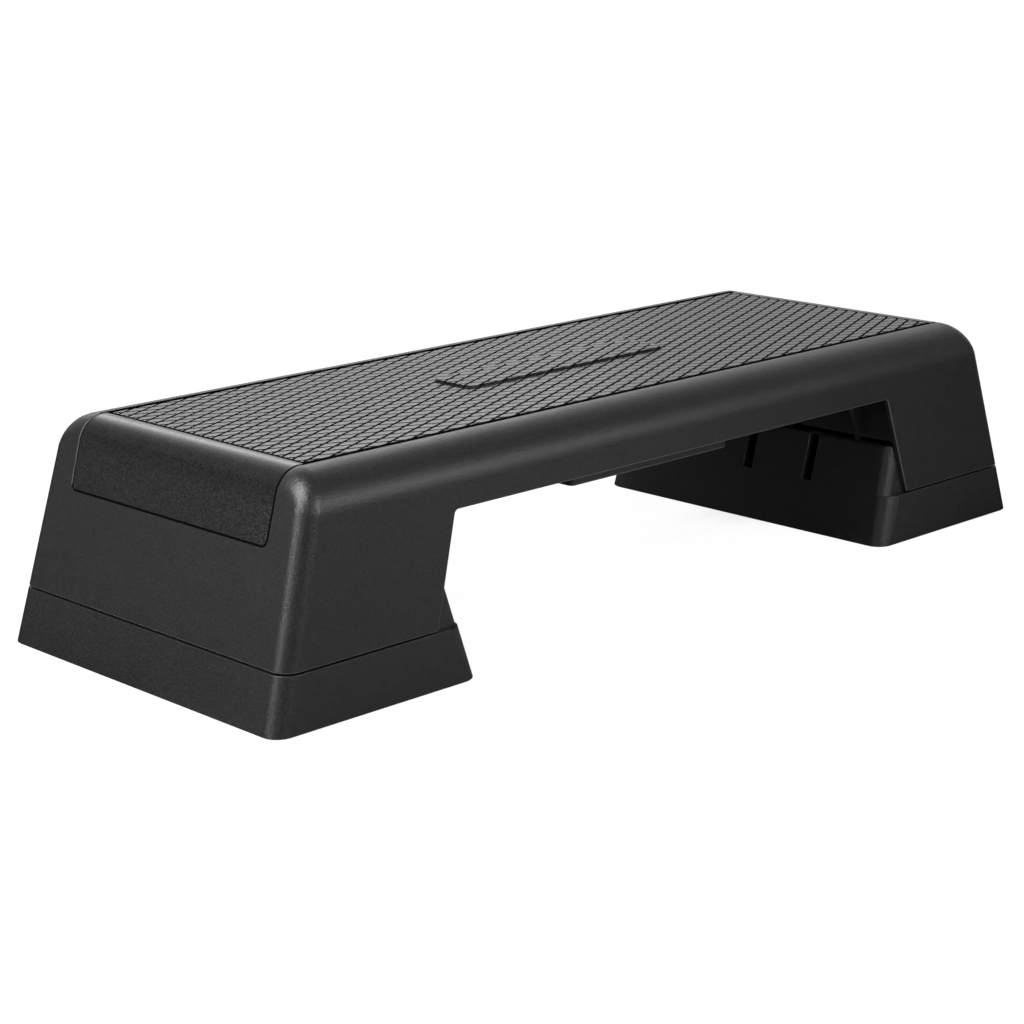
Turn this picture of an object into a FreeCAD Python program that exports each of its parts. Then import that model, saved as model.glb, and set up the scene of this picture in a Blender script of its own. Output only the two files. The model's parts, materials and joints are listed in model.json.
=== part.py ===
import FreeCAD, Part
import math
import os

vec = FreeCAD.Vector

# Platform as a whole. Lengths in millimetres, X along the length, Z up, floor at zero.
tread_height = 200.0        # floor to tread with both feet on
foot_lift = 50.0            # floor to the deck's rim with both feet on
base_length = 980.0         # footprint on the floor
base_width = 370.0
end_lean = 0.275            # inward lean of the end walls, mm for each mm of height
side_lean = 0.067           # inward lean of the long walls
base_corner = 16.5          # radius of the upright corners of the deck and the feet
edge_round = 36.0           # radius that rolls the tread over into the long walls
end_round = 26.0            # the same at the ends

# Deck moulding
deck_wall = 4.5
top_plate = 4.0             # plate under the tread mat
skirt_drop = 53.7           # tread to the lower edge of the long skirts
leg_reach = 202.5           # footprint's end to a leg's inner edge at the skirt
leg_lean = 0.283            # outward lean of the legs' inner edges, going down
span_round = 5.0            # where the skirt turns down into a leg
leg_toe_round = 4.0         # lower inner corner of a leg

# Stiffening under the deck
rib_depth = 12.0
rib_thick = 3.0
long_rib_pitch = 84.6
long_rib_count = 4
cross_rib_count = 5
web_thick = 5.0             # deep webs in the legs, which stand on the feet
bulkhead_thick = 4.0
bulkhead_setback = 4.5      # bulkhead's foot behind the feet's inner face
bulkhead_lean = 0.27
bulkhead_lift = 4.0         # bulkhead's lower edge above the foot, which only the webs stand on
nose_lift = 6.5             # lower tip of a web's nose above the foot

# Tread mat and end pads, set flush in pockets
mat_end_margin = 25.0       # mat's ends behind the corner of tread and end wall, before it is rounded
mat_side_margin = 39.6      # the same at the long walls
mat_thick = 2.5
groove = 1.2                # open line along the mat's sides and round the end pads
end_line = 0.5              # half of the open line between the mat and an end pad
end_pad_overhang = 2.0      # end pads wider than the mat, at each side
end_pad_thick = 2.0
end_pad_drop = 61.7         # tread to the lowest edge of an end pad
end_pad_round = 7.0
glue_line = 0.2
plaque_length = 260.0       # plain raised panel in the middle of the mat
plaque_width = 52.0
plaque_rise = 2.5
plaque_round = 9.0

# Feet
foot_width = 219.5          # along X on the floor
foot_inner_lean = 0.29      # lean of the face that looks to the middle
foot_wall = 4.0
foot_plate = 4.0            # closed top and shoulder
seam = 1.7                  # open line between a foot's shoulder and the deck's rim
riser_height = 46.0         # part of a foot that goes up into the deck's leg
riser_wall = 4.0
riser_corner = 12.5         # radius of its upright corners
slot_wall = 6.5             # inner wall that carries the slots
riser_chamfer = 1.5
nest_gap = 0.8              # between a foot and the deck's leg
slot_pitch = 78.0
slot_count = 3
slot_width = 12.0
slot_sill = 0.7             # lower end of a slot above the shoulder
foot_rib_depth = 14.0

# Rubber pads under the feet
pad_stand = 0.5             # pad below the rim that it protects
pad_recess = 2.5
pad_length = 26.0
pad_width = 20.0
pad_chamfer = 0.8
pad_play = 0.3
pad_margin = 5.0            # boss round a pad's recess
boss_height = 24.0

# Brace box under the middle of the deck
brace_length = 211.0
brace_side_margin = 56.0    # footprint's side to the brace's side
brace_drop = 77.0           # tread to the brace's bottom
brace_wall = 3.5
brace_draft = 1.0           # each side, bottom to top
brace_corner = 5.0
flange_reach = 18.0
screw_spread_y = 132.0
screw_radius = 2.2
screw_length = 14.0
screw_play = 0.15
screw_end_play = 1.0
head_flats = 8.0            # hexagon head, across its flats
head_height = 3.2
screw_boss_radius = 6.0

leg_gap = base_length - 2 * leg_reach
mat_length = base_length - 2 * (end_lean * tread_height + mat_end_margin)
mat_width = base_width - 2 * (side_lean * tread_height + mat_side_margin)
end_pad_width = mat_width + 2 * end_pad_overhang
end_pad_bottom = tread_height - end_pad_drop
brace_width = base_width - 2 * brace_side_margin
brace_bottom = tread_height - brace_drop
cross_rib_pitch = (brace_length + flange_reach) / 2
shoulder = foot_lift - seam
foot_top = foot_lift + riser_height
foot_ceiling = foot_top - foot_plate
ledge = shoulder - foot_plate
riser_inset = deck_wall + nest_gap
underside = tread_height - mat_thick - top_plate
plate_middle = underside + top_plate / 2
rib_bottom = underside - rib_depth
skirt_edge = tread_height - skirt_drop
pad_thick = pad_stand + pad_recess
overcut = 5.0               # how far cutters run past the faces that they open


def half_length(z):
    return base_length / 2 - end_lean * z


def half_width(z):
    return base_width / 2 - side_lean * z


def foot_face(z):
    return base_length / 2 - foot_width + foot_inner_lean * z


def leg_edge(z):
    return leg_gap / 2 + leg_lean * (skirt_edge - z)


def bulkhead_face(z):
    return foot_face(foot_top) + bulkhead_setback + bulkhead_lean * (z - foot_top)


def slanted(thickness, lean):
    # Horizontal width of a leaning wall of this thickness
    return thickness * math.sqrt(1 + lean * lean)


def spread(count, pitch):
    return [(index - (count - 1) / 2) * pitch for index in range(count)]


def block(x_low, x_high, y_low, y_high, z_low, z_high):
    return Part.makeBox(x_high - x_low, y_high - y_low, z_high - z_low, vec(x_low, y_low, z_low))


def rib_along(y, thickness, z_low, z_high):
    reach = base_length / 2
    return block(-reach, reach, y - thickness / 2, y + thickness / 2, z_low, z_high)


def rib_across(x, thickness, z_low, z_high):
    reach = base_width / 2
    return block(x - thickness / 2, x + thickness / 2, -reach, reach, z_low, z_high)


def post(x, y, z_low, z_high, radius):
    return Part.makeCylinder(radius, z_high - z_low, vec(x, y, z_low))


def hexagon_head(x, y, z_low, z_high, flats):
    radius = flats / 2 / math.cos(math.pi / 6)
    turns = [math.pi / 3 * step for step in range(7)]
    points = [vec(x + radius * math.cos(turn), y + radius * math.sin(turn), z_low) for turn in turns]
    return Part.Face(Part.makePolygon(points)).extrude(vec(0, 0, z_high - z_low))


def leaning_block(low, high):
    # Flat-faced block between two level rectangles, each given as z, x from, x to and half width
    z_low, low_from, low_to, low_half = low
    z_high, high_from, high_to, high_half = high
    near = (low_from, z_low, -low_half, -high_half, high_from)
    far = (low_to, z_high, low_half, high_half, high_to)
    shape = Part.makeWedge(*near, *far)
    shape.rotate(vec(0, 0, 0), vec(1, 0, 0), 90)
    return shape


def side_prism(outline, y_low, y_high):
    # Prism across the width from an outline of X and Z pairs
    wire = Part.makePolygon([vec(x, y_low, z) for x, z in outline + outline[:1]])
    return Part.Face(wire).extrude(vec(0, y_high - y_low, 0))


def other_end(shape):
    return shape.mirror(vec(0, 0, 0), vec(1, 0, 0))


def is_upright(edge):
    return abs(edge.Vertexes[0].Z - edge.Vertexes[-1].Z) > 1


def uprights(shape):
    return [edge for edge in shape.Edges if is_upright(edge)]


def edges_at(shape, test):
    return [edge for edge in shape.Edges if all(test(corner.Point) for corner in edge.Vertexes)]


def edges_on_top(shape):
    top = shape.BoundBox.ZMax
    return edges_at(shape, lambda point: abs(point.z - top) < 1e-6)


def deck_block(inset, top_inset, bottom):
    levels = []
    for z in (bottom, tread_height - top_inset):
        x = half_length(z) - slanted(inset, end_lean)
        levels.append((z, -x, x, half_width(z) - slanted(inset, side_lean)))
    return leaning_block(*levels)


def deck_form(inset, top_inset, bottom):
    # The deck's form drawn in by inset at its walls and by top_inset at its tread
    document = FreeCAD.newDocument("deck")
    sharp = document.addObject("Part::Feature", "sharp")
    sharp.Shape = deck_block(inset, top_inset, bottom)
    rounded = document.addObject("Part::Fillet", "rounded")
    rounded.Base = sharp
    rows = []
    for number, edge in enumerate(sharp.Shape.Edges, 1):
        heights = [corner.Z for corner in edge.Vertexes]
        across = abs(edge.Vertexes[0].Y - edge.Vertexes[-1].Y) > 1
        radius = (end_round if across else edge_round) - inset
        if is_upright(edge):
            radius = base_corner - inset
        if max(heights) > bottom + 1:
            rows.append((number, radius, radius))
    rounded.Edges = rows
    document.recompute()
    return rounded.Shape.Solids[0]


def end_pad_zone(margin, mat_side):
    # Region over the right-hand end that an end pad fills, drawn in by margin and, at the mat, by mat_side
    y_half = end_pad_width / 2 - margin
    low = end_pad_bottom + margin
    x_low = mat_length / 2 + mat_side
    zone = block(x_low, base_length / 2, -y_half, y_half, low, tread_height + overcut)
    lower = edges_at(zone, lambda point: abs(point.z - low) < 1e-6)
    along = [edge for edge in lower if abs(edge.Vertexes[0].X - edge.Vertexes[-1].X) > 1]
    return zone.makeFillet(end_pad_round - margin, along)


def end_skin(thickness):
    return deck_form(0, 0, foot_lift).cut(deck_form(thickness, thickness, foot_lift - overcut))


def nose_tip():
    # Height at which a leg's inner edge runs into the bulkhead's face
    return (leg_edge(0) - bulkhead_face(0)) / (leg_lean + bulkhead_lean)


def leg_webs():
    # Bulkhead, deep webs and the outer webs' noses of the right-hand leg, standing on its foot
    top = plate_middle
    levels = (foot_top + bulkhead_lift, top)
    front = [(bulkhead_face(z), z) for z in levels]
    back = [(x + bulkhead_thick, z) for x, z in reversed(front)]
    found = [side_prism(front + back, -base_width / 2, base_width / 2)]
    middle = (bulkhead_face(foot_top) + bulkhead_thick + half_length(foot_top)) / 2
    found.append(rib_across(middle, web_thick, foot_top, top))
    far = base_length / 2
    behind = [(bulkhead_face(foot_top), foot_top), (far, foot_top), (far, top), front[1]]
    tip = nose_tip()
    nose = [(leg_edge(tip), tip), front[1], (leg_edge(top), top)]
    above_foot = block(0, far, -base_width / 2, base_width / 2, foot_top + nose_lift, top)
    rows = spread(long_rib_count, long_rib_pitch)
    for y in rows:
        faces = (y - web_thick / 2, y + web_thick / 2)
        found.append(side_prism(behind, *faces))
        if y in (rows[0], rows[-1]):
            found.append(side_prism(nose, *faces).common(above_foot))
    return found


def screw_places():
    x = cross_rib_pitch
    y = screw_spread_y / 2
    return [(side_x * x, side_y * y) for side_x in (-1, 1) for side_y in (-1, 1)]


def deck_stiffening():
    found = []
    for y in spread(long_rib_count, long_rib_pitch):
        found.append(rib_along(y, rib_thick, rib_bottom, plate_middle))
    for x in spread(cross_rib_count, cross_rib_pitch):
        found.append(rib_across(x, rib_thick, rib_bottom, plate_middle))
    for x, y in screw_places():
        found.append(post(x, y, rib_bottom, plate_middle, screw_boss_radius))
    for web in leg_webs():
        found += [web, other_end(web)]
    middle_of_walls = deck_form(deck_wall / 2, mat_thick + top_plate / 2, foot_lift)
    return [piece.common(middle_of_walls) for piece in found]


def leg_opening():
    # Space between the legs below the skirts
    low = foot_lift - overcut
    outline = [
        (-leg_edge(low), low),
        (-leg_gap / 2, skirt_edge),
        (leg_gap / 2, skirt_edge),
        (leg_edge(low), low),
    ]
    space = side_prism(outline, -base_width / 2, base_width / 2)
    across = [edge for edge in edges_on_top(space) if abs(edge.Vertexes[0].Y - edge.Vertexes[-1].Y) > 1]
    return space.makeFillet(span_round, across)


def deck_shell():
    hollow = deck_form(deck_wall, tread_height - underside, foot_lift - overcut)
    shell = deck_form(0, 0, foot_lift).cut(hollow).cut(leg_opening())
    toe_x = leg_edge(foot_lift)
    toes = edges_at(shell, lambda p: abs(p.z - foot_lift) < 1e-4 and abs(abs(p.x) - toe_x) < 1e-3)
    shell = shell.makeFillet(leg_toe_round, toes)
    shell = shell.fuse(deck_stiffening()).removeSplitter()

    pocket_x = mat_length / 2
    pocket_y = mat_width / 2
    floor = tread_height - mat_thick
    cuts = [block(-pocket_x, pocket_x, -pocket_y, pocket_y, floor, tread_height + overcut)]
    skin = end_skin(end_pad_thick + glue_line)
    right_zone = end_pad_zone(0, 0)
    for zone in (right_zone, other_end(right_zone)):
        cuts.append(skin.common(zone))
    for x, y in screw_places():
        depth = screw_length - brace_wall + screw_end_play
        cuts.append(post(x, y, rib_bottom - overcut, rib_bottom + depth, screw_radius + screw_play))
    return shell.cut(cuts)


def tread_mat():
    x = mat_length / 2 - end_line
    y = mat_width / 2 - groove
    mat = block(-x, x, -y, y, tread_height - mat_thick, tread_height)
    panel_x = plaque_length / 2
    panel_y = plaque_width / 2
    plaque = block(-panel_x, panel_x, -panel_y, panel_y, tread_height, tread_height + plaque_rise)
    return mat.fuse(plaque.makeFillet(plaque_round, uprights(plaque))).removeSplitter()


def end_pad():
    return end_skin(end_pad_thick).common(end_pad_zone(groove, end_line))


def foot_block(z_low, z_high, inner, outer, radius):
    # Block of the right-hand foot, drawn in by inner at its slotted face and by outer at the others
    levels = []
    for z in (z_low, z_high):
        x_from = foot_face(z) + slanted(inner, foot_inner_lean)
        x_to = half_length(z) - slanted(outer, end_lean)
        levels.append((z, x_from, x_to, half_width(z) - slanted(outer, side_lean)))
    shape = leaning_block(*levels)
    return shape.makeFillet(radius, uprights(shape))


def lower_block(inset, z_low, z_high):
    return foot_block(z_low, z_high, inset, inset, base_corner - inset)


def riser_block(inner, inset, z_low, z_high):
    return foot_block(z_low, z_high, inner, riser_inset + inset, riser_corner - inset)


def riser_slots():
    cuts = []
    low = shoulder + slot_sill
    high = foot_top + overcut
    depth = slanted(slot_wall, foot_inner_lean)
    outline = [
        (foot_face(low) - overcut, low),
        (foot_face(low) + depth, low),
        (foot_face(high) + depth, high),
        (foot_face(high) - overcut, high),
    ]
    for y in spread(slot_count, slot_pitch):
        cuts.append(side_prism(outline, y - slot_width / 2, y + slot_width / 2))
    return cuts


def riser_edge():
    # Cutter for the chamfer along the top of the slotted face
    low = foot_top - riser_chamfer
    high = foot_top + overcut
    face_x = foot_face(low)
    top_x = foot_face(foot_top) + riser_chamfer
    outside = face_x - overcut
    outline = [(face_x, low), (top_x, foot_top), (top_x, high), (outside, high), (outside, low)]
    return side_prism(outline, -base_width / 2, base_width / 2)


def foot_pad_places():
    # Pad centres in the four corners of the right-hand foot
    reach_x = pad_length / 2 + pad_margin
    reach_y = pad_width / 2 + pad_margin
    y = half_width(pad_stand) - slanted(foot_wall, side_lean) - reach_y
    inner = foot_face(pad_stand) + slanted(foot_wall, foot_inner_lean) + reach_x
    outer = half_length(pad_stand) - slanted(foot_wall, end_lean) - reach_x
    return {
        "front_outer": (outer, -y),
        "front_inner": (inner, -y),
        "back_outer": (outer, y),
        "back_inner": (inner, y),
    }


def pad_block(x, y, margin, z_low, z_high):
    half_x = pad_length / 2 + margin
    half_y = pad_width / 2 + margin
    return block(x - half_x, x + half_x, y - half_y, y + half_y, z_low, z_high)


def rubber_pad(x, y):
    pad = pad_block(x, y, 0, 0, pad_thick)
    return pad.makeChamfer(pad_chamfer, edges_at(pad, lambda point: abs(point.z) < 1e-6))


def foot():
    body = lower_block(0, pad_stand, shoulder).fuse(riser_block(0, 0, shoulder, foot_top))
    hollows = [
        lower_block(foot_wall, pad_stand - overcut, ledge),
        riser_block(slot_wall, riser_wall, ledge - overcut, foot_ceiling),
    ]
    stiffening = []
    low_middle = lower_block(foot_wall / 2, pad_stand, ledge)
    for x, y in foot_pad_places().values():
        wall_side = foot_wall + pad_margin
        boss = pad_block(x, y, wall_side, pad_stand, pad_stand + boss_height)
        stiffening.append(boss.common(low_middle))
    high_middle = riser_block(slot_wall / 2, riser_wall / 2, ledge, foot_top - foot_plate / 2)
    for y in spread(long_rib_count, long_rib_pitch):
        rib = rib_along(y, rib_thick, foot_ceiling - foot_rib_depth, foot_top)
        stiffening.append(rib.common(high_middle))
    body = body.cut(hollows).fuse(stiffening).removeSplitter()
    cuts = riser_slots() + [riser_edge()]
    for x, y in foot_pad_places().values():
        cuts.append(pad_block(x, y, pad_play, pad_stand - overcut, pad_stand + pad_recess))
    return body.cut(cuts)


def centre_brace():
    flange_x = brace_length / 2 + flange_reach
    flange_y = brace_width / 2 + flange_reach
    flange = block(-flange_x, flange_x, -flange_y, flange_y, rib_bottom - brace_wall, rib_bottom)
    flange = flange.makeFillet(brace_corner + flange_reach, uprights(flange))

    def tub(inset, z_low, z_high):
        levels = []
        for z in (z_low, z_high):
            draw_in = inset + brace_draft * (rib_bottom - z) / (rib_bottom - brace_bottom)
            x = brace_length / 2 - draw_in
            levels.append((z, -x, x, brace_width / 2 - draw_in))
        shape = leaning_block(*levels)
        return shape.makeFillet(brace_corner - inset, uprights(shape))

    outside = tub(0, brace_bottom, rib_bottom)
    cuts = [tub(brace_wall, brace_bottom + brace_wall, rib_bottom + overcut)]
    for x, y in screw_places():
        cuts.append(post(x, y, brace_bottom, rib_bottom + overcut, screw_radius + screw_play))
    return outside.fuse(flange).removeSplitter().cut(cuts)


def brace_screw(x, y):
    seat = rib_bottom - brace_wall
    shank = post(x, y, seat, seat + screw_length, screw_radius)
    return shank.fuse(hexagon_head(x, y, seat - head_height, seat, head_flats))


def all_pieces():
    right_foot = foot()
    right_pad = end_pad()
    pieces = {
        "deck_shell": deck_shell(),
        "tread_mat": tread_mat(),
        "right_end_pad": right_pad,
        "left_end_pad": other_end(right_pad),
        "centre_brace": centre_brace(),
        "brace_screws": Part.makeCompound([brace_screw(x, y) for x, y in screw_places()]),
        "right_foot": right_foot,
        "left_foot": other_end(right_foot),
    }
    for end, side_x in (("left", -1), ("right", 1)):
        for corner, (x, y) in foot_pad_places().items():
            pieces[end + "_foot_pad_" + corner] = rubber_pad(side_x * x, y)
    return pieces


os.makedirs("parts", exist_ok=True)
for node, shape in all_pieces().items():
    solids = shape.Solids
    volume = sum(solid.Volume for solid in solids)
    print(node, len(solids), "solid", round(volume / 1000, 1), "cm3", shape.isValid())
    result = solids[0] if len(solids) == 1 else Part.makeCompound(solids)
    result.exportStep(os.path.join("parts", node + ".step"))
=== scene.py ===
import json
import math

import bmesh
import bpy
from mathutils import Matrix, Vector

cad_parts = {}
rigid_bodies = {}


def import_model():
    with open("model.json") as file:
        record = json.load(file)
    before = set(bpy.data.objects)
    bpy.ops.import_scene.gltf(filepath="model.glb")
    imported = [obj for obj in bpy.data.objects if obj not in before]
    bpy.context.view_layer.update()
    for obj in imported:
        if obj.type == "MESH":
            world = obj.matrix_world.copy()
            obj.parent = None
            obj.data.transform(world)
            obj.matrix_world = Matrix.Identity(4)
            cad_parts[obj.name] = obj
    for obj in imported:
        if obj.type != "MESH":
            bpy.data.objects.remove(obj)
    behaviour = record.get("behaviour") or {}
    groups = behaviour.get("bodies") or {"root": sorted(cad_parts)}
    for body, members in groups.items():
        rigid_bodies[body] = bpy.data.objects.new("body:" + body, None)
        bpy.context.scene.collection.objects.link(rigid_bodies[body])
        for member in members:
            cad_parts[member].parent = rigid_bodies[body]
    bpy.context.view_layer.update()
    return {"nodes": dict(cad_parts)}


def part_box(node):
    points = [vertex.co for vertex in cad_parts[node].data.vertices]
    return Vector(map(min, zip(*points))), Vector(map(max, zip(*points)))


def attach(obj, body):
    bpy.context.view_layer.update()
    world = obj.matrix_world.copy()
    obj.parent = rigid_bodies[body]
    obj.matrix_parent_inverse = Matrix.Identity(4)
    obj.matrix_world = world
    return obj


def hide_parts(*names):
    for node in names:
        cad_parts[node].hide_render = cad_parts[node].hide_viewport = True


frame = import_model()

mm = 0.001
scene = bpy.context.scene
scene.view_settings.view_transform = "Standard"

# The deck's main planes, as the solids have them, for picking edges by place
form = {
    "baseLength": 0.980,
    "baseWidth": 0.370,
    "endLean": 0.275,
    "sideLean": 0.067,
    "endRound": 26 * mm,
    "cornerRound": 16.5 * mm,
    "treadTop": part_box("deck_shell")[1].z,
    "footInnerLean": 0.29,
    "footWidth": 0.2195,
}


def objectMode():
    if bpy.context.object and bpy.context.object.mode != "OBJECT":
        bpy.ops.object.mode_set(mode="OBJECT")


def selectNothing():
    objectMode()
    bpy.ops.object.select_all(action="DESELECT")


def only(piece):
    selectNothing()
    piece.select_set(True)
    bpy.context.view_layer.objects.active = piece


def edit(piece, pick="EDGE"):
    only(piece)
    bpy.ops.object.mode_set(mode="EDIT")
    bpy.ops.mesh.select_mode(type=pick)


def selectAll():
    bpy.ops.mesh.select_all(action="SELECT")


def pickEdges(test):
    shape = bmesh.from_edit_mesh(bpy.context.object.data)
    bpy.ops.mesh.select_all(action="DESELECT")
    found = 0
    for edge in shape.edges:
        if test(edge):
            edge.select_set(True)
            found += 1
    bmesh.update_edit_mesh(bpy.context.object.data)
    return found


def pickFaces(test):
    shape = bmesh.from_edit_mesh(bpy.context.object.data)
    bpy.ops.mesh.select_all(action="DESELECT")
    for face in shape.faces:
        if test(face.calc_center_median(), face.normal):
            face.select_set(True)
    bmesh.update_edit_mesh(bpy.context.object.data)


def middle(edge):
    return (edge.verts[0].co + edge.verts[1].co) / 2


def sharpOutside(edge, degrees=25):
    return edge.is_manifold and edge.is_convex and edge.calc_face_angle(0) > math.radians(degrees)


def applyModifier(piece, kind, **settings):
    only(piece)
    step = piece.modifiers.new(kind.title(), kind)
    for name, value in settings.items():
        setattr(step, name, value)
    bpy.ops.object.modifier_apply(modifier=step.name)


def smooth(piece, degrees=35):
    only(piece)
    bpy.ops.object.shade_smooth_by_angle(angle=math.radians(degrees))
    applyModifier(piece, "WEIGHTED_NORMAL", mode="FACE_AREA", weight=80, keep_sharp=True)


def copyNode(node, name):
    objectMode()
    piece = bpy.data.objects.new(name, frame["nodes"][node].data.copy())
    scene.collection.objects.link(piece)
    piece.data.materials.clear()
    edit(piece)
    selectAll()
    bpy.ops.mesh.remove_doubles(threshold=0.01 * mm)
    bpy.ops.mesh.dissolve_limited(angle_limit=math.radians(0.2))
    return piece


def settle(piece, node, body, slotName, *materials):
    objectMode()
    for material in materials:
        piece.data.materials.append(material)
    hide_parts(node)
    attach(piece, body)
    print("made", piece.name, len(piece.data.polygons), "faces")


def wallDepths(point):
    x, y, z = abs(point.x), abs(point.y), point.z
    side = (form["baseWidth"] / 2 - form["sideLean"] * z - y) / math.hypot(1, form["sideLean"])
    end = (form["baseLength"] / 2 - form["endLean"] * z - x) / math.hypot(1, form["endLean"])
    return side, end


# Depth below two walls that meet in a rounded corner
def cornerDepth(one, other, radius):
    if one < radius and other < radius:
        return radius - math.hypot(radius - one, radius - other)
    return min(one, other)


# Depth of a point below the deck's rounded outer skin
def skinDepth(point):
    side, end = wallDepths(point)
    top = form["treadTop"] - point.z
    radius = form["endRound"]
    if end < radius and top < radius:
        centreZ = form["treadTop"] - radius
        slant = radius * math.hypot(1, form["endLean"])
        centreX = form["baseLength"] / 2 - form["endLean"] * centreZ - slant
        return radius - math.hypot(abs(point.x) - centreX, point.z - centreZ)
    return min(cornerDepth(side, end, form["cornerRound"]), top)


def newMaterial(name, roughness, specular=0.5):
    material = bpy.data.materials.new(name)
    material.use_nodes = True
    shader = material.node_tree.nodes["Principled BSDF"]
    shader.inputs["Roughness"].default_value = roughness
    shader.inputs["Specular IOR Level"].default_value = specular
    return material, material.node_tree, shader


def addNode(tree, kind, **inputs):
    node = tree.nodes.new(kind)
    for name, value in inputs.items():
        node.inputs[name.replace("_", " ")].default_value = value
    return node


def grain(tree, scale, detail=3.0, rough=0.6):
    place = tree.nodes.new("ShaderNodeTexCoord")
    noise = addNode(tree, "ShaderNodeTexNoise", Scale=scale, Detail=detail, Roughness=rough)
    tree.links.new(place.outputs["Object"], noise.inputs["Vector"])
    return noise.outputs["Fac"]


def bump(tree, height, strength, depth, under=None):
    node = addNode(tree, "ShaderNodeBump", Strength=strength, Distance=depth)
    tree.links.new(height, node.inputs["Height"])
    if under is not None:
        tree.links.new(under, node.inputs["Normal"])
    return node.outputs["Normal"]


def tint(tree, factor, dark, light, low=0.3, high=0.7):
    ramp = tree.nodes.new("ShaderNodeValToRGB")
    ramp.color_ramp.elements[0].position = low
    ramp.color_ramp.elements[1].position = high
    ramp.color_ramp.elements[0].color = (*dark, 1)
    ramp.color_ramp.elements[1].color = (*light, 1)
    tree.links.new(factor, ramp.inputs["Fac"])
    return ramp.outputs["Color"]


def spread(tree, factor, low, high):
    node = addNode(tree, "ShaderNodeMapRange", To_Min=low, To_Max=high)
    tree.links.new(factor, node.inputs["Value"])
    return node.outputs["Result"]


# Black moulded plastic with a fine sparked skin
def mouldedPlastic(name, dark, light, gloss, sparkle, specular):
    material, tree, shader = newMaterial(name, gloss[0], specular)
    fine = grain(tree, 1500)
    coarse = grain(tree, 520, detail=2)
    tree.links.new(tint(tree, coarse, dark, light), shader.inputs["Base Color"])
    cloudy = grain(tree, 22, detail=4)
    tree.links.new(spread(tree, cloudy, *gloss), shader.inputs["Roughness"])
    low = bump(tree, coarse, sparkle, 0.5 * mm)
    tree.links.new(bump(tree, fine, sparkle, 0.25 * mm, low), shader.inputs["Normal"])
    return material


# Pebble grain of the end pads, which fades out with height towards the tread
pebbleSettings = {
    "depth": 0.8 * mm,
    "fadeHeights": (170 * mm, 192 * mm),
    "fadeStrengths": (0.6, 0.05),
    "roundness": 0.35,
}


def pebbledRubber(name, dark, light, gloss, pebble, specular):
    material, tree, shader = newMaterial(name, gloss[0], specular)
    place = tree.nodes.new("ShaderNodeTexCoord")
    cells = addNode(tree, "ShaderNodeTexVoronoi", Scale=1 / pebble, Randomness=1.0)
    cells.feature = "SMOOTH_F1"
    cells.inputs["Smoothness"].default_value = pebbleSettings["roundness"]
    tree.links.new(place.outputs["Object"], cells.inputs["Vector"])
    distance = cells.outputs["Distance"]
    # The colour runs from light on the pebbles' tops to dark in the hollows between them, following the
    # bump: painted light and shade in the grain
    tree.links.new(tint(tree, distance, light, dark, 0.1, 0.6), shader.inputs["Base Color"])
    tree.links.new(spread(tree, grain(tree, 30), *gloss), shader.inputs["Roughness"])
    parts = tree.nodes.new("ShaderNodeSeparateXYZ")
    tree.links.new(place.outputs["Object"], parts.inputs[0])
    fadeLow, fadeHigh = pebbleSettings["fadeHeights"]
    strong, weak = pebbleSettings["fadeStrengths"]
    fade = addNode(
        tree, "ShaderNodeMapRange", From_Min=fadeLow, From_Max=fadeHigh, To_Min=strong, To_Max=weak
    )
    tree.links.new(parts.outputs["Z"], fade.inputs["Value"])
    pebbles = addNode(tree, "ShaderNodeBump", Distance=pebbleSettings["depth"])
    tree.links.new(fade.outputs["Result"], pebbles.inputs["Strength"])
    tree.links.new(spread(tree, distance, 1, 0), pebbles.inputs["Height"])
    fine = bump(tree, grain(tree, 1300), 0.1, 0.2 * mm, pebbles.outputs["Normal"])
    tree.links.new(fine, shader.inputs["Normal"])
    return material


def zincSteel(name):
    material, tree, shader = newMaterial(name, 0.32)
    shader.inputs["Metallic"].default_value = 1
    streaks = grain(tree, 260, detail=5)
    colour = tint(tree, streaks, (0.50, 0.50, 0.52), (0.62, 0.62, 0.63))
    tree.links.new(colour, shader.inputs["Base Color"])
    tree.links.new(spread(tree, streaks, 0.26, 0.42), shader.inputs["Roughness"])
    tree.links.new(bump(tree, streaks, 0.15, 0.1 * mm), shader.inputs["Normal"])
    return material


deckPlastic = mouldedPlastic("deckPlastic", (0.007,) * 3, (0.021,) * 3, (0.32, 0.42), 0.50, 0.8)
# A lighter copy of the black plastic for bevelled edges: a painted highlight along them
paintedEdgeHighlight = mouldedPlastic("paintedEdgeHighlight", (0.070,) * 3, (0.080,) * 3, (0.30, 0.38), 0.10, 0.8)
footPlastic = mouldedPlastic("footPlastic", (0.007,) * 3, (0.021,) * 3, (0.32, 0.42), 0.50, 0.8)
bracePlastic = mouldedPlastic("bracePlastic", (0.012,) * 3, (0.018,) * 3, (0.40, 0.50), 0.12, 0.8)
treadRubber = mouldedPlastic("treadRubber", (0.016,) * 3, (0.024,) * 3, (0.24, 0.30), 0.15, 0.8)
# A near-black matt copy for the floors and walls of grooves and recesses: painted shade in them
paintedGrooveShade = mouldedPlastic("paintedGrooveShade", (0.004,) * 3, (0.006,) * 3, (0.75, 0.9), 0.2, 0.05)
endPadRubber = pebbledRubber(
    "endPadRubber", (0.006,) * 3, (0.026,) * 3, (0.22, 0.30), 1.5 * mm, 0.8
)
footRubber = mouldedPlastic("footRubber", (0.020,) * 3, (0.026,) * 3, (0.65, 0.8), 0.3, 0.3)
screwSteel = zincSteel("screwSteel")
print("materials ready")


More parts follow.
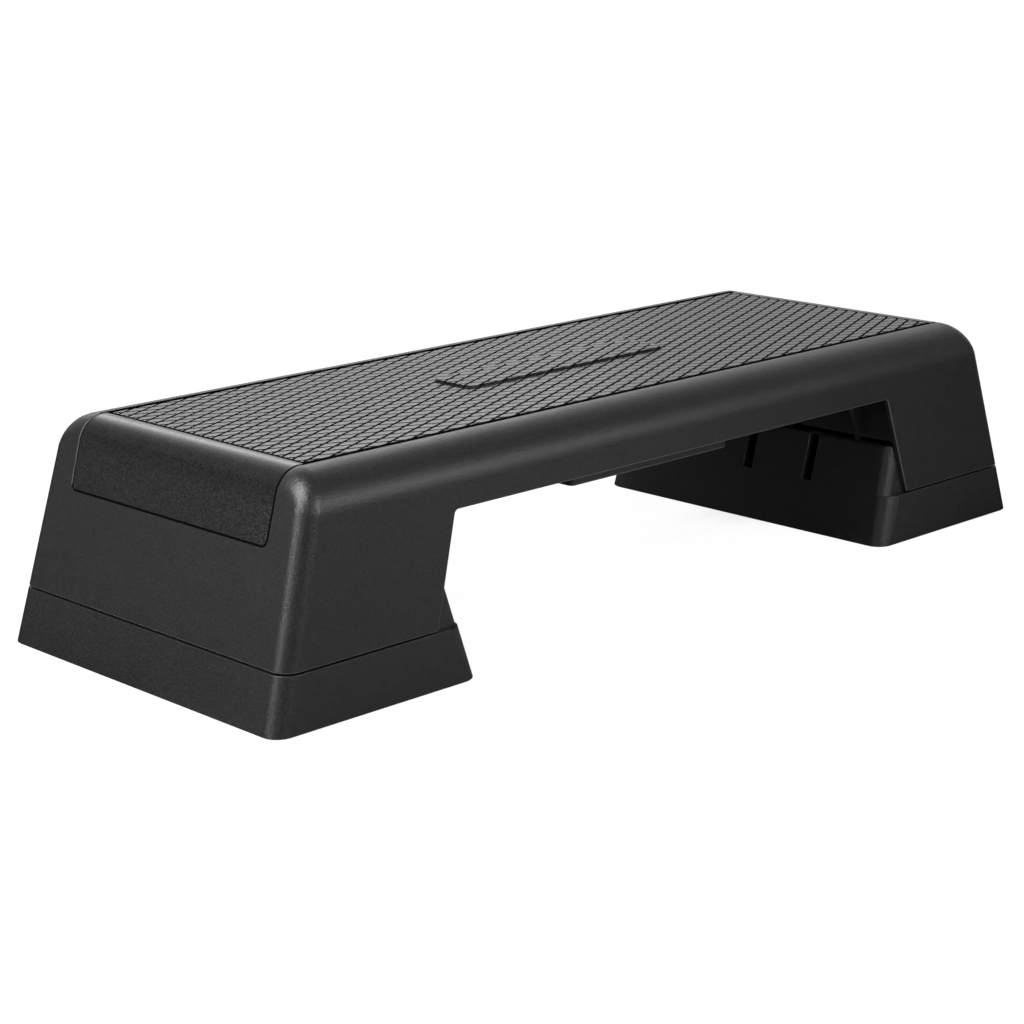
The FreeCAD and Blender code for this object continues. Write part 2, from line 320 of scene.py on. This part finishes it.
# Deck moulding: softened rims, skirts and legs, crisp pocket rims and a rebate beside the mat
deckSettings = {
    "edgeRound": 0.8 * mm,
    "edgeSegments": 3,
    "skinLimit": 1.2 * mm,
    "pocketReach": 133.6 * mm,
    "pocketBottom": 137.0 * mm,
    "rebateReach": 136.2 * mm,
    "rebateDepth": 1.2 * mm,
    "rebateEnd": 0.42,
    "pocketStart": 0.40,
    "pocketDepths": (0.15 * mm, 3.2 * mm),
    "slack": 0.1 * mm,
}


# Rims of the recesses in the tread and in the rounded ends
def onPocketRim(point):
    onTread = point.z > form["treadTop"] - mm
    onEnd = point.z > deckSettings["pocketBottom"] and abs(point.x) > deckSettings["pocketStart"]
    return abs(point.y) < deckSettings["pocketReach"] and (onTread or onEnd)


def onTreadLevel(centre, normal):
    return normal.z > 0.99 and centre.z > form["treadTop"] - deckSettings["slack"]


def onRebate(centre, normal):
    beside = abs(centre.y) < deckSettings["rebateReach"] and abs(centre.x) < deckSettings["pocketStart"]
    return beside and onTreadLevel(centre, normal)


# Faces of the rebate and of the end pockets' walls, which are given painted shade as dark grooves
def inGroove(spot):
    slack = deckSettings["slack"]
    if abs(spot.y) < deckSettings["rebateReach"] + slack and abs(spot.x) < deckSettings["rebateEnd"]:
        lowest = form["treadTop"] - deckSettings["rebateDepth"] - slack
        if lowest < spot.z < form["treadTop"] - slack:
            return True
    if abs(spot.y) > deckSettings["pocketReach"] + 3 * slack or abs(spot.x) < deckSettings["pocketStart"]:
        return False
    shallow, deep = deckSettings["pocketDepths"]
    return spot.z > deckSettings["pocketBottom"] - 3 * slack and shallow < skinDepth(spot) < deep


def makeDeck():
    deck = copyNode("deck_shell", "deckMoulding")
    for material in (deckPlastic, paintedEdgeHighlight, paintedGrooveShade):
        deck.data.materials.append(material)
    limit = deckSettings["skinLimit"]
    found = pickEdges(
        lambda edge: sharpOutside(edge)
        and skinDepth(middle(edge)) < limit
        and not onPocketRim(middle(edge))
    )
    # The softened edges take the lighter second material: a painted highlight along the rims, skirts and
    # legs
    bpy.ops.mesh.bevel(
        offset=deckSettings["edgeRound"],
        segments=deckSettings["edgeSegments"],
        affect="EDGES",
        clamp_overlap=False,
        material=1,
    )
    print("deck edges softened:", found)
    edit(deck, "FACE")
    for reach in (deckSettings["rebateReach"], -deckSettings["rebateReach"]):
        pickFaces(onTreadLevel)
        bpy.ops.mesh.bisect(plane_co=(0, reach, 0), plane_no=(0, 1, 0))
    pickFaces(onRebate)
    depth = deckSettings["rebateDepth"]
    bpy.ops.mesh.extrude_region_move(TRANSFORM_OT_translate={"value": (0, 0, -depth)})
    smooth(deck)
    settle(deck, "deck_shell", "platform", "deck_plastic")
    # The rebate and pocket-wall faces take the darker third material: painted shade in these recesses
    for face in deck.data.polygons:
        if inGroove(face.center):
            face.material_index = 2


makeDeck()


# Tread mat: sheet, rhombic tiles in rows and the plain raised panel in its middle
matSettings = {
    "tileLength": 29.5 * mm,
    "tileWidth": 13.1 * mm,
    "tileShift": (-2.0 * mm, -0.9 * mm),
    "tileHeight": 2.1 * mm,
    "rings": ((0.0, 0.83), (0.80, 0.81), (0.94, 0.79), (0.985, 0.76), (1.0, 0.71)),
    "tipCut": 2.0 * mm,
    "endBorder": 1.8 * mm,
    "sideBorder": 1.6 * mm,
    "edgeRound": 0.3 * mm,
    "panelLength": 260 * mm,
    "panelWidth": 52 * mm,
    "panelCorner": 9 * mm,
    "panelBorder": 0.5 * mm,
}


def tileField(name, floorHeight, columns, rows):
    length, width = matSettings["tileLength"], matSettings["tileWidth"]
    selectNothing()
    bpy.ops.mesh.primitive_circle_add(vertices=4, radius=1, fill_type="NGON")
    field = bpy.context.object
    field.name = name
    edit(field, "FACE")
    selectAll()
    rings = matSettings["rings"]
    base = rings[0][1]
    bpy.ops.transform.resize(value=(length / 2 * base, width / 2 * base, 1))
    bpy.ops.mesh.select_mode(type="VERT")
    shape = bmesh.from_edit_mesh(field.data)
    for vertex in shape.verts:
        vertex.select_set(abs(vertex.co.x) > length / 4)
    shape.select_flush_mode()
    bmesh.update_edit_mesh(field.data)
    bpy.ops.mesh.bevel(offset=matSettings["tipCut"], segments=2, affect="VERTICES")
    bpy.ops.mesh.select_mode(type="FACE")
    selectAll()
    for (lowPart, lowScale), (highPart, highScale) in zip(rings, rings[1:]):
        rise = (highPart - lowPart) * matSettings["tileHeight"]
        bpy.ops.mesh.extrude_region_move(TRANSFORM_OT_translate={"value": (0, 0, rise)})
        scale = highScale / lowScale
        bpy.ops.transform.resize(value=(scale, scale, 1))
    selectAll()
    bpy.ops.mesh.normals_make_consistent(inside=False)
    bpy.ops.transform.translate(value=(0, width / 2, floorHeight))
    bpy.ops.mesh.duplicate_move(
        TRANSFORM_OT_translate={"value": (length / 2, -width / 2, 0)}
    )
    selectAll()
    shiftX, shiftY = matSettings["tileShift"]
    startX, startY = shiftX - (columns // 2) * length, shiftY - (rows // 2) * width
    bpy.ops.transform.translate(value=(startX, startY, 0))
    objectMode()
    for count, step in ((columns, (length, 0, 0)), (rows, (0, width, 0))):
        applyModifier(
            field,
            "ARRAY",
            count=count,
            use_relative_offset=False,
            use_constant_offset=True,
            constant_offset_displace=step,
        )
    return field


def trim(piece, reachX, reachY):
    edit(piece)
    for normal in ((1, 0, 0), (-1, 0, 0), (0, 1, 0), (0, -1, 0)):
        selectAll()
        place = (normal[0] * reachX, normal[1] * reachY, 0)
        bpy.ops.mesh.bisect(plane_co=place, plane_no=normal, use_fill=True, clear_outer=True)
    objectMode()


def sheet(name, size, low, high, corner=0, cornerSegments=6):
    selectNothing()
    bpy.ops.mesh.primitive_cube_add(size=1, location=(0, 0, 0))
    piece = bpy.context.object
    piece.name = name
    edit(piece)
    selectAll()
    bpy.ops.transform.resize(value=(size[0], size[1], high - low))
    bpy.ops.transform.translate(value=(0, 0, (low + high) / 2))
    if corner:
        pickEdges(lambda edge: abs(edge.verts[0].co.z - edge.verts[1].co.z) > mm)
        bpy.ops.mesh.bevel(offset=corner, segments=cornerSegments, affect="EDGES")
    return piece


def makeTreadMat():
    low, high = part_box("tread_mat")
    tread = form["treadTop"]
    tileHeight = matSettings["tileHeight"]
    sizeX, sizeY = high.x - low.x, high.y - low.y
    grooveLevels = (tread - tileHeight, high.z - tileHeight)
    base = sheet("treadMat", (sizeX, sizeY), low.z, tread - tileHeight)
    pickEdges(lambda edge: middle(edge).z > tread - tileHeight - 0.1 * mm)
    bpy.ops.mesh.bevel(offset=matSettings["edgeRound"], segments=2, affect="EDGES")

    columns = int(sizeX / matSettings["tileLength"]) + 3
    rows = int(sizeY / matSettings["tileWidth"]) + 3
    field = tileField("treadTiles", tread - tileHeight, columns, rows)
    trim(field, sizeX / 2 - matSettings["endBorder"], sizeY / 2 - matSettings["sideBorder"])
    panelX, panelY = matSettings["panelLength"] / 2, matSettings["panelWidth"] / 2
    edit(field, "FACE")
    inX, inY = panelX - matSettings["tileLength"] / 2, panelY - matSettings["tileWidth"] / 2
    pickFaces(lambda centre, normal: abs(centre.x) < inX and abs(centre.y) < inY)
    bpy.ops.mesh.select_linked()
    bpy.ops.mesh.delete(type="FACE")
    objectMode()

    panelSize = (2 * panelX, 2 * panelY)
    panelFloor = high.z - tileHeight
    panel = sheet("matPanel", panelSize, low.z, panelFloor, matSettings["panelCorner"])
    pickEdges(lambda edge: middle(edge).z > panelFloor - 0.1 * mm)
    bpy.ops.mesh.bevel(offset=matSettings["edgeRound"], segments=2, affect="EDGES")
    panelColumns = int(2 * panelX / matSettings["tileLength"]) + 3
    panelRows = int(2 * panelY / matSettings["tileWidth"]) + 3
    panelTiles = tileField("panelTiles", panelFloor, panelColumns, panelRows)
    inset = 2 * matSettings["panelBorder"]
    window = sheet(
        "panelWindow",
        (2 * panelX - inset, 2 * panelY - inset),
        panelFloor - mm,
        high.z + mm,
        matSettings["panelCorner"] - inset / 2,
    )
    objectMode()
    applyModifier(panelTiles, "BOOLEAN", operation="INTERSECT", solver="EXACT", object=window)
    bpy.data.objects.remove(window)

    only(base)
    for part in (field, panel, panelTiles):
        part.select_set(True)
    bpy.ops.object.join()
    smooth(base, 28)
    settle(base, "tread_mat", "platform", "tread_rubber", treadRubber, paintedGrooveShade)
    # Flat groove floors between the tiles and round the panel take the darker second material: painted
    # shade
    grooveTop = 0.2 * mm
    for face in base.data.polygons:
        height = face.center.z
        if face.normal.z > 0.9 and min(abs(height - level) for level in grooveLevels) < grooveTop:
            face.material_index = 1


makeTreadMat()


# Grained pads on the rounded ends
padSettings = {"edgeRound": 0.9 * mm, "edgeSegments": 2, "paintedShadeDepth": 0.10 * mm}


def makeEndPad(side):
    pad = copyNode(side + "_end_pad", side + "EndPad")
    pickEdges(lambda edge: sharpOutside(edge) and skinDepth(middle(edge)) < 0.4 * mm)
    bpy.ops.mesh.bevel(
        offset=padSettings["edgeRound"],
        segments=padSettings["edgeSegments"],
        affect="EDGES",
        clamp_overlap=True,
    )
    smooth(pad)
    settle(pad, side + "_end_pad", "platform", "end_pad_rubber", endPadRubber, paintedGrooveShade)
    # Faces sunk below the pad's skin take the darker second material: painted shade in the pad's border
    # groove
    for face in pad.data.polygons:
        if skinDepth(face.center) > padSettings["paintedShadeDepth"]:
            face.material_index = 1


for side in ("left", "right"):
    makeEndPad(side)


# Brace box under the middle, with its bottom edges softened
braceSettings = {"bottomRound": 1.2 * mm, "bottomSegments": 3}


def makeBrace():
    brace = copyNode("centre_brace", "centreBrace")
    for material in (bracePlastic, paintedEdgeHighlight):
        brace.data.materials.append(material)
    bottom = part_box("centre_brace")[0].z
    pickEdges(lambda edge: sharpOutside(edge) and middle(edge).z < bottom + 0.1 * mm)
    # The softened bottom edges take the lighter second material: a painted highlight along the brace's
    # lower rim
    bpy.ops.mesh.bevel(
        offset=braceSettings["bottomRound"],
        segments=braceSettings["bottomSegments"],
        affect="EDGES",
        clamp_overlap=True,
        material=1,
    )
    smooth(brace)
    settle(brace, "centre_brace", "platform", "brace_plastic")


makeBrace()


# Feet: softened outer edges, with a painted highlight kept on the edges by the slots
footSettings = {
    "edgeRound": 0.7 * mm,
    "edgeSegments": 3,
    "shoulder": 48.3 * mm,
    "riserInset": 5.3 * mm,
    "riserCorner": 12.5 * mm,
    "skinLimit": 0.9 * mm,
    "slotSpan": (49 * mm, 92 * mm),
    "slotReach": 100 * mm,
    "crispReach": 20 * mm,
}


# Distance along X from the foot's slotted inner face
def fromInnerFace(point):
    face = form["baseLength"] / 2 - form["footWidth"] + form["footInnerLean"] * point.z
    return abs(point.x) - face


def footDepth(point):
    side, end = wallDepths(point)
    inner = fromInnerFace(point) / math.hypot(1, form["footInnerLean"])
    radius = form["cornerRound"]
    if point.z > footSettings["shoulder"] + 0.1 * mm:
        side, end = side - footSettings["riserInset"], end - footSettings["riserInset"]
        radius = footSettings["riserCorner"]
    return cornerDepth(side, min(end, inner), radius)


# The shoulder's run-out round the corner to the slotted face stays crisp
def onInnerShoulder(point):
    atShoulder = abs(point.z - footSettings["shoulder"]) < mm
    return atShoulder and fromInnerFace(point) < footSettings["crispReach"]


def makeFoot(side):
    node = side + "_foot"
    piece = copyNode(node, side + "Foot")
    for material in (footPlastic, paintedEdgeHighlight):
        piece.data.materials.append(material)
    limit = footSettings["skinLimit"]
    found = pickEdges(
        lambda edge: sharpOutside(edge)
        and footDepth(middle(edge)) < limit
        and not onInnerShoulder(middle(edge))
    )
    bpy.ops.mesh.bevel(
        offset=footSettings["edgeRound"],
        segments=footSettings["edgeSegments"],
        affect="EDGES",
        clamp_overlap=False,
        material=1,
    )
    print("foot edges softened:", found)
    smooth(piece)
    settle(piece, node, side + "_riser", "foot_plastic")
    # Only faces by the slots keep the lighter second material, a painted highlight on the slot edges; all
    # other faces go back to the foot plastic
    slotBottom, slotTop = footSettings["slotSpan"]
    for face in piece.data.polygons:
        bySlot = slotBottom < face.center.z < slotTop and abs(face.center.y) <= footSettings["slotReach"]
        if not bySlot:
            face.material_index = 0


for side in ("left", "right"):
    makeFoot(side)


# Rubber pads below the feet and the brace's screws keep their solids
for node, item in frame["nodes"].items():
    if "_foot_pad_" in node:
        item.data.materials.clear()
        item.data.materials.append(footRubber)
frame["nodes"]["brace_screws"].data.materials.clear()
frame["nodes"]["brace_screws"].data.materials.append(screwSteel)
print("pads and screws finished")


# Floor, world, lamps and camera
stageSettings = {
    "floorSize": 40.0,
    "floorColour": 0.8,
    "shownShare": 0.10,
    "shownGlow": 0.97,
    "closedDistance": 0.3,
    "closedRange": (0.06, 0.16),
    "ambient": 0.4,
    "zenith": 0.08,
    "floorReach": 0.9,
    "floorFade": 0.1,
    "openSamples": 32,
    "wallBands": ((0.13, 0.27), (0.36, 0.54), (0.58, 0.80)),
}

# Brightness of the studio's walls and floor in reflections, by compass turn from -180 degrees on
panels = {
    "low": (0.25, 0, 0, 0.3, 0, 0, 0.55, 0.4, 0.15, 0.2, 0.1, 0.1),
    "middle": (0.15, 0, 0, 0.7, 0.12, 0, 1.0, 1.0, 0.85, 0.1, 0, 0.35),
    "high": (0.97, 0.38, 0.5, 1.0, 0.1, 0, 0.32, 1.0, 0.6, 0.1, 0.3, 1.0),
    "nearFloor": (0.14, 0.19, 0.38, 0, 0, 0, 0, 0),
    "farFloor": (0, 0, 0.15, 0, 0.4, 0, 0, 0.4),
}


def mathNode(tree, operation, one, other):
    node = tree.nodes.new("ShaderNodeMath")
    node.operation = operation
    tree.links.new(one, node.inputs[0])
    tree.links.new(other, node.inputs[1])
    return node.outputs[0]


def compassTurn(tree, east, north):
    turn = mathNode(tree, "ARCTAN2", north, east)
    share = addNode(tree, "ShaderNodeMapRange", From_Min=-math.pi, From_Max=math.pi)
    tree.links.new(turn, share.inputs["Value"])
    return share.outputs["Result"]


def panelRow(tree, turn, name):
    row = panels[name]
    ramp = tree.nodes.new("ShaderNodeValToRGB")
    stops = ramp.color_ramp.elements
    stops.remove(stops[1])
    stops[0].position = 0.5 / len(row)
    stops[0].color = (row[0],) * 3 + (1,)
    for number, value in enumerate(row[1:], 1):
        stops.new((number + 0.5) / len(row)).color = (value,) * 3 + (1,)
    tree.links.new(turn, ramp.inputs["Fac"])
    return ramp.outputs["Color"]


def rise(tree, value, low, high):
    step = addNode(tree, "ShaderNodeMapRange", From_Min=low, From_Max=high)
    step.interpolation_type = "SMOOTHSTEP"
    tree.links.new(value, step.inputs["Value"])
    return step.outputs["Result"]


def blend(tree, factor, one, other):
    node = tree.nodes.new("ShaderNodeMix")
    tree.links.new(factor, node.inputs["Factor"])
    for name, value in (("A", one), ("B", other)):
        if isinstance(value, float):
            node.inputs[name].default_value = value
        else:
            tree.links.new(value, node.inputs[name])
    return node.outputs["Result"]


def seenDirectly(tree, path):
    return mathNode(tree, "MAXIMUM", path.outputs["Is Camera Ray"], path.outputs["Is Transmission Ray"])


def makeFloor():
    selectNothing()
    bpy.ops.mesh.primitive_plane_add(size=stageSettings["floorSize"])
    floor = bpy.context.object
    floor.name = "studioFloor"
    material = bpy.data.materials.new("studioFloor")
    material.use_nodes = True
    tree = material.node_tree
    tree.nodes.remove(tree.nodes["Principled BSDF"])
    path = tree.nodes.new("ShaderNodeLightPath")
    pale = (stageSettings["floorColour"],) * 3 + (1,)
    faint = (stageSettings["shownShare"],) * 3 + (1,)
    plain = addNode(tree, "ShaderNodeBsdfDiffuse", Color=pale)
    shade = addNode(tree, "ShaderNodeBsdfDiffuse", Color=faint)
    # Where the floor is closed in, as inside the feet and close beside them, ambient occlusion turns the
    # glow down: a painted shade on the floor; the faint diffuse share carries the real shadow
    openness = addNode(tree, "ShaderNodeAmbientOcclusion", Distance=stageSettings["closedDistance"])
    openness.samples = stageSettings["openSamples"]
    closed, free = stageSettings["closedRange"]
    unclosed = addNode(tree, "ShaderNodeMapRange", From_Min=closed, From_Max=free)
    unclosed.inputs["To Max"].default_value = stageSettings["shownGlow"]
    tree.links.new(openness.outputs["AO"], unclosed.inputs["Value"])
    glow = addNode(tree, "ShaderNodeEmission")
    tree.links.new(unclosed.outputs["Result"], glow.inputs["Strength"])
    shown = tree.nodes.new("ShaderNodeAddShader")
    tree.links.new(shade.outputs[0], shown.inputs[0])
    tree.links.new(glow.outputs[0], shown.inputs[1])

    spot = tree.nodes.new("ShaderNodeNewGeometry")
    parts = tree.nodes.new("ShaderNodeSeparateXYZ")
    tree.links.new(spot.outputs["Position"], parts.inputs[0])
    reach = tree.nodes.new("ShaderNodeVectorMath")
    reach.operation = "LENGTH"
    tree.links.new(spot.outputs["Position"], reach.inputs[0])
    turn = compassTurn(tree, parts.outputs["X"], parts.outputs["Y"])
    limit = stageSettings["floorReach"]
    fade = stageSettings["floorFade"]
    outward = rise(tree, reach.outputs["Value"], limit - fade, limit + fade)
    pattern = blend(tree, outward, panelRow(tree, turn, "nearFloor"), panelRow(tree, turn, "farFloor"))
    sheen = tree.nodes.new("ShaderNodeEmission")
    tree.links.new(pattern, sheen.inputs["Strength"])
    mirrored = tree.nodes.new("ShaderNodeMixShader")
    tree.links.new(path.outputs["Is Glossy Ray"], mirrored.inputs["Fac"])
    tree.links.new(plain.outputs[0], mirrored.inputs[1])
    tree.links.new(sheen.outputs[0], mirrored.inputs[2])
    choice = tree.nodes.new("ShaderNodeMixShader")
    tree.links.new(seenDirectly(tree, path), choice.inputs["Fac"])
    tree.links.new(mirrored.outputs[0], choice.inputs[1])
    tree.links.new(shown.outputs[0], choice.inputs[2])
    tree.links.new(choice.outputs[0], tree.nodes["Material Output"].inputs["Surface"])
    floor.data.materials.append(material)


def makeWorld():
    world = bpy.data.worlds.new("studio")
    world.use_nodes = True
    scene.world = world
    tree = world.node_tree
    path = tree.nodes.new("ShaderNodeLightPath")
    place = tree.nodes.new("ShaderNodeTexCoord")
    parts = tree.nodes.new("ShaderNodeSeparateXYZ")
    tree.links.new(place.outputs["Generated"], parts.inputs[0])
    turn = compassTurn(tree, parts.outputs["X"], parts.outputs["Y"])
    height = parts.outputs["Z"]
    lowBand, middleBand, highBand = stageSettings["wallBands"]
    low, mid = panelRow(tree, turn, "low"), panelRow(tree, turn, "middle")
    wall = blend(tree, rise(tree, height, *lowBand), low, mid)
    wall = blend(tree, rise(tree, height, *middleBand), wall, panelRow(tree, turn, "high"))
    wall = blend(tree, rise(tree, height, *highBand), wall, stageSettings["zenith"])
    shiny = blend(tree, path.outputs["Is Glossy Ray"], stageSettings["ambient"], wall)
    final = blend(tree, seenDirectly(tree, path), shiny, 1.0)
    back = tree.nodes["Background"]
    back.inputs["Color"].default_value = (1, 1, 1, 1)
    tree.links.new(final, back.inputs["Strength"])


def softbox(name, place, aim, size, power, mirrored):
    lamp = bpy.data.lights.new(name, "AREA")
    lamp.shape = "RECTANGLE"
    lamp.size, lamp.size_y = size
    lamp.energy = power
    item = bpy.data.objects.new(name, lamp)
    item.location = place
    item.rotation_euler = (Vector(aim) - Vector(place)).to_track_quat("-Z", "Y").to_euler()
    item.visible_glossy = mirrored
    scene.collection.objects.link(item)


lamps = (
    ("sideLamp", (-2.1, 0.15, 1.05), (0, 0, 0.1), (0.5, 1.1), 13, True),
    ("highLamp", (-1.6, 0.2, 2.0), (0, 0, 0.1), (0.6, 1.0), 34, True),
    ("rimLamp", (1.2, 2.3, 1.4), (0, 0, 0.2), (2.0, 0.5), 8, True),
    ("frontLamp", (0.85, -1.7, 0.72), (-0.2, -0.1, 0.15), (0.4, 0.4), 4, True),
    ("cornerLamp", (-0.1, -2.0, 1.0), (-0.2, -0.1, 0.15), (0.4, 0.4), 7, True),
    ("topLamp", (0.0, 0.0, 2.2), (0, 0, 0.1), (1.2, 1.2), 12, False),
)

cameraSettings = {
    "place": (-1.5886, -1.5846, 0.6594),
    "azimuth": -44.091,
    "elevation": 15.105,
    "roll": -0.535,
    "lens": 85.55,
    "shift": (-0.00044, 0.00249),
}


def makeCamera():
    turn = math.radians(cameraSettings["azimuth"])
    tilt = math.radians(cameraSettings["elevation"])
    roll = math.radians(cameraSettings["roll"])
    back = Vector((
        math.sin(turn) * math.cos(tilt),
        -math.cos(turn) * math.cos(tilt),
        math.sin(tilt),
    ))
    right = (-back).cross(Vector((0, 0, 1))).normalized()
    up = right.cross(-back)
    across = math.cos(roll) * right + math.sin(roll) * up
    upward = math.cos(roll) * up - math.sin(roll) * right
    lens = bpy.data.cameras.new("photoCamera")
    lens.lens = cameraSettings["lens"]
    lens.sensor_width = 36
    lens.shift_x, lens.shift_y = cameraSettings["shift"]
    camera = bpy.data.objects.new("photoCamera", lens)
    turned = Matrix((across, upward, back)).transposed()
    camera.rotation_euler = turned.to_euler()
    camera.location = cameraSettings["place"]
    scene.collection.objects.link(camera)
    scene.camera = camera


makeFloor()
makeWorld()
for lampFacts in lamps:
    softbox(*lampFacts)
makeCamera()
print("stage ready")
